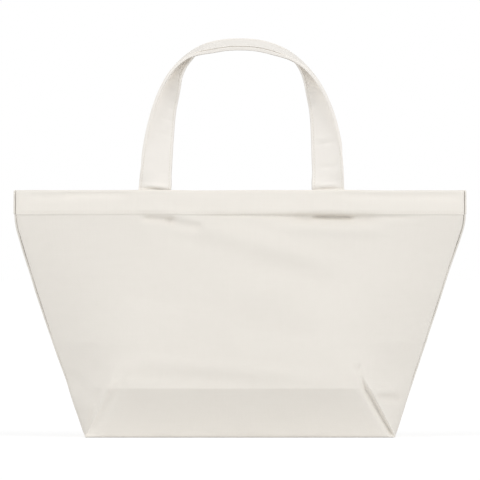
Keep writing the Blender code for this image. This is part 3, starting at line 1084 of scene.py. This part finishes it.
class Finish:
    """Node tree of one material, or of the world."""

    def __init__(self, name, kinds=None):
        self.material = (bpy.data.materials if kinds is None else kinds).new(name)
        self.material.use_nodes = True
        self.tree = self.material.node_tree
        self.tree.nodes.clear()

    def add(self, kind, *values, operation=None, output=0, **named):
        """Adds a node, with what goes in by place or by name."""
        node = self.tree.nodes.new("ShaderNode" + kind)
        if operation:
            node.operation = operation
        for key, value in [*enumerate(values), *named.items()]:
            socket = node.inputs[key.replace("_", " ") if key in named else key]
            if isinstance(value, Wire):
                self.tree.links.new(value.socket, socket)
            else:
                socket.default_value = value
        return Wire(self, node.outputs[output]) if len(node.outputs) else None

    def blend_colours(self, part, low, high):
        """Colour between two colours."""
        mixed = self.add("Mix", part)
        node = mixed.socket.node
        node.data_type = "RGBA"
        sockets = {socket.identifier: socket for socket in [*node.inputs, *node.outputs]}
        sockets["A_Color"].default_value = (*low, 1)
        sockets["B_Color"].default_value = (*high, 1)
        return Wire(self, sockets["Result_Color"])


def woven_material(scene, name, kind, pale_lit_hem_from=None):
    """Plain-woven cotton: two sets of threads, thick places in them, and uneven dye.

    Above the given height in its flat the colour is painted paler, partly for the paler look of
    layered cloth and partly as a painted highlight where the hem is lit brighter.
    """
    if name in bpy.data.materials:
        return bpy.data.materials[name]
    cotton = Finish(name)
    place = cotton.add("TexCoord", output="UV")
    split = cotton.add("SeparateXYZ", place)
    upward = Wire(cotton, split.socket.node.outputs[1])
    across, along = (way / scene.tote_cloth.thread_pitch for way in (split, upward))

    threads = across.math("FLOOR", across) + along.math("FLOOR", along)
    over = threads.math("FLOORED_MODULO", threads, 2.0)
    warp, weft = (
        way.math("SINE", way.math("FRACT", way) * math.pi) for way in (across, along)
    )
    weave = over * (warp * (weft * 0.45 + 0.55)) + (1 - over) * (weft * (warp * 0.45 + 0.55))

    def streaks(across_size, along_size):
        scale = (1 / across_size, 1 / along_size, 1)
        stretched = cotton.add("VectorMath", place, scale, operation="MULTIPLY")
        return cotton.add("TexNoise", Vector=stretched, Scale=1.0, Detail=2.0)

    slubs = streaks(*SLUBS) * 0.5 + streaks(*SLUBS[::-1]) * 0.5
    looks = (weave, slubs, streaks(*MOTTLING), streaks(*CLOUDS))

    def summed(shares):
        parts = [look * share for look, share in zip(looks, shares)]
        total = parts[0]
        for part in parts[1:]:
            total = total + part
        return total

    shade, light = (getattr(scene.tote_colours, key) for key in (f"{kind}_shade", kind))
    tinted = cotton.blend_colours(summed(TONE_SHARES) - TONE_DROP, shade, light)
    if pale_lit_hem_from is not None:
        # painted highlight: the hem's colour made paler, together with the paler look of layered
        # cloth
        pale_lit_hem = cotton.add("Clamp", Value=(upward - pale_lit_hem_from) / PALE_LIT_HEM_FADE)
        gain = pale_lit_hem * PALE_LIT_HEM_GAIN + 1.0
        tinted = cotton.add("VectorMath", tinted, operation="SCALE", Scale=gain)
    relief = summed(RELIEF_SHARES)
    shader = cotton.add(
        "BsdfPrincipled",
        Base_Color=tinted,
        Roughness=0.97 - weave * 0.10,
        Normal=cotton.add("Bump", Strength=0.35, Distance=0.0004, Height=relief),
        Sheen_Weight=0.08,
        Sheen_Roughness=0.6,
        IOR=1.35,
    )
    cotton.add("OutputMaterial", shader)
    return cotton.material


def canvas_material(scene):
    """Canvas of the panels, painted paler over the doubled hem: layered cloth and painted
    highlight.
    """
    body, cloth = scene.tote_body, scene.tote_cloth
    heights = np.linspace(0, body.height - cloth.hem_height, 200)
    line = stacked(middle_half_depth(body, cloth, heights), heights)
    below_hem = body.base_depth / 2 + lengths_along(line)[-1]
    return woven_material(scene, "natural_canvas", "canvas", below_hem)


def thread_material(scene):
    """Spun cotton thread with a fine uneven tone."""
    name = "sewing_thread"
    if name in bpy.data.materials:
        return bpy.data.materials[name]
    cotton = Finish(name)
    place = cotton.add("TexCoord", output="Object")
    fuzz = cotton.add("TexNoise", Vector=place, Scale=2600.0, Detail=2.0)
    light = tuple(scene.tote_colours.thread)
    tone = cotton.blend_colours(fuzz, [channel * 0.9 for channel in light], light)
    normal = cotton.add("Bump", Strength=0.4, Distance=0.0001, Height=fuzz)
    shader = cotton.add("BsdfPrincipled", Base_Color=tone, Roughness=0.75, Normal=normal)
    cotton.add("OutputMaterial", shader)
    return cotton.material


def seen_white(kind):
    """Share of the light paths that see the white studio: from camera, metal and glass."""
    seen = kind.add("LightPath", output="Is Camera Ray")
    for ray in ("Is Glossy Ray", "Is Transmission Ray"):
        seen = seen.math("MAXIMUM", seen, kind.add("LightPath", output=ray))
    return seen


def floor_material():
    """Pale floor: white where it is seen, with the bag's shadow kept."""
    pale = Finish("pale_floor")
    plain, lit = (
        pale.add("BsdfDiffuse", Color=(grey, grey, grey, 1)) for grey in (FLOOR_GREY, SEEN_GREY)
    )
    glow = pale.add("Emission", Color=(1, 1, 1, 1), Strength=SEEN_GLOW)
    white = pale.add("AddShader", glow, lit)
    pale.add("OutputMaterial", pale.add("MixShader", seen_white(pale), plain, white))
    return pale.material


def light_world(scene, strength):
    """Even pale light from all round, white where it is seen past the floor."""
    world = Finish("pale_studio", bpy.data.worlds)
    even = world.add("Background", Color=(1, 1, 1, 1), Strength=strength)
    white = world.add("Background", Color=(1, 1, 1, 1), Strength=1.0)
    world.add("OutputWorld", world.add("MixShader", seen_white(world), even, white))
    scene.world = world.material


# Operators


class TOTE_OT_canvas(bpy.types.Operator):
    """Adds the front and the back panel of canvas"""

    bl_idname = "tote.canvas"
    bl_label = "Canvas panels"

    def execute(self, context):
        # cut with an allowance at each side, and with half of the base and the hem in one
        for word, side in FACES.items():
            panel = Panel(context.scene, side)
            piece, area = add_canvas(context.scene, panel, word)
            hem = add_hem_turn(context.scene, panel, word)
        return {"FINISHED"}


class TOTE_OT_straps(bpy.types.Operator):
    """Adds the two strap handles"""

    bl_idname = "tote.straps"
    bl_label = "Strap handles"

    def execute(self, context):
        for word, side in FACES.items():
            add_strap(context.scene, word, side)
        return {"FINISHED"}


class TOTE_OT_seams(bpy.types.Operator):
    """Adds the seam allowances inside the bag, with the threads that bind them"""

    bl_idname = "tote.seams"
    bl_label = "Seam allowances"

    def execute(self, context):
        scene = context.scene
        cloth, threads = scene.tote_cloth, scene.tote_threads
        reach, pitch, radius = threads.overlock_reach, threads.pitch, threads.radius
        runs = []
        for node, strip in seam_strips(scene.tote_body, cloth).items():
            piece = add_strip(f"{node}_allowance", *strip, cloth.thickness * 0.9)
            material = woven_material(scene, "cut_canvas_edge", "edge")
            finish_piece(piece, material)
            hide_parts(node)
            runs += overlock(*strip, reach, cloth.thickness * 1.02, pitch)
        bound = sew("overlock_threads", runs, radius, 0)
        finish_piece(bound, thread_material(scene))
        return {"FINISHED"}


class TOTE_OT_stitches(bpy.types.Operator):
    """Adds the stitches of the hems and of the straps"""

    bl_idname = "tote.stitches"
    bl_label = "Stitches"

    def execute(self, context):
        scene = context.scene
        radius = scene.tote_threads.radius
        for word, side in FACES.items():
            hem = sew(f"{word}_hem_stitches", hem_stitch_runs(scene, side), radius)
            finish_piece(hem, thread_material(scene))
            edges = sew(f"{word}_strap_stitches", strap_stitch_runs(scene, side), radius)
            finish_piece(edges, thread_material(scene), body=None)
            blend_strap(edges)
        return {"FINISHED"}


# Width of the film in mm, apparent size of the soft lamps, and for each the place that it
# shines from and its share of the strength
FILM, LAMP_ANGLE = 36.0, math.radians(50)
LAMPS = [("left", (-2.15, -1.45, 1.27), 0.92), ("right", (2.15, -1.45, 1.27), 1.08)]


class TOTE_OT_studio(bpy.types.Operator):
    """Adds the floor, the light and the camera"""

    bl_idname = "tote.studio"
    bl_label = "Studio"

    def execute(self, context):
        scene, studio = context.scene, context.scene.tote_studio
        bpy.ops.mesh.primitive_plane_add(size=60, location=(0, 0, -0.0002))
        floor = context.active_object
        floor.name = "floor"
        floor.data.materials.append(floor_material())
        light_world(scene, studio.sky)
        for word, place, part in LAMPS:
            bpy.ops.object.light_add(type="SUN", location=place)
            lamp = context.active_object
            lamp.name = f"{word}_lamp"
            lamp.data.angle, lamp.data.energy = LAMP_ANGLE, studio.lamp * part
            lamp.rotation_euler = (-lamp.location).to_track_quat("-Z", "Y").to_euler()
        place = (0, -studio.view_width * studio.lens / FILM, studio.view_height)
        bpy.ops.object.camera_add(location=place, rotation=(math.pi / 2, 0, 0))
        camera = scene.camera = context.active_object
        camera.name = "camera"
        camera.data.lens, camera.data.sensor_width = studio.lens, FILM
        scene.view_settings.view_transform = "Standard"
        return {"FINISHED"}


class TOTE_PT_panel(bpy.types.Panel):
    """Lists the steps that build the bag"""

    bl_idname = "TOTE_PT_panel"
    bl_label = "Tote bag"
    bl_space_type = "VIEW_3D"
    bl_region_type = "UI"
    bl_category = "Tote bag"

    def draw(self, context):
        layout = self.layout
        for step in STEPS:
            layout.operator(step.bl_idname)
        for group in GROUPS:
            settings = getattr(context.scene, group)
            box = layout.box()
            box.label(text=GROUPS[group].__name__)
            for name in GROUPS[group].__annotations__:
                box.prop(settings, name)


STEPS = [TOTE_OT_canvas, TOTE_OT_straps, TOTE_OT_seams, TOTE_OT_stitches, TOTE_OT_studio]
GROUPS = {
    "tote_body": BodySizes,
    "tote_cloth": ClothSizes,
    "tote_strap": StrapSizes,
    "tote_threads": ThreadSizes,
    "tote_colours": BagColours,
    "tote_studio": StudioSizes,
}


def register():
    """Adds the classes and the settings."""
    for kind in [*GROUPS.values(), *STEPS, TOTE_PT_panel]:
        bpy.utils.register_class(kind)
    for name, kind in GROUPS.items():
        setattr(bpy.types.Scene, name, PointerProperty(type=kind))


def unregister():
    """Takes the settings and the classes away."""
    for name in GROUPS:
        delattr(bpy.types.Scene, name)
    for kind in reversed([*GROUPS.values(), *STEPS, TOTE_PT_panel]):
        bpy.utils.unregister_class(kind)


def main():
    """Builds the bag and its studio."""
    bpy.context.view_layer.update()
    register()
    bpy.ops.tote.canvas()
    bpy.ops.tote.straps()
    bpy.ops.tote.seams()
    bpy.ops.tote.stitches()
    bpy.ops.tote.studio()


if __name__ == "__main__":
    main()
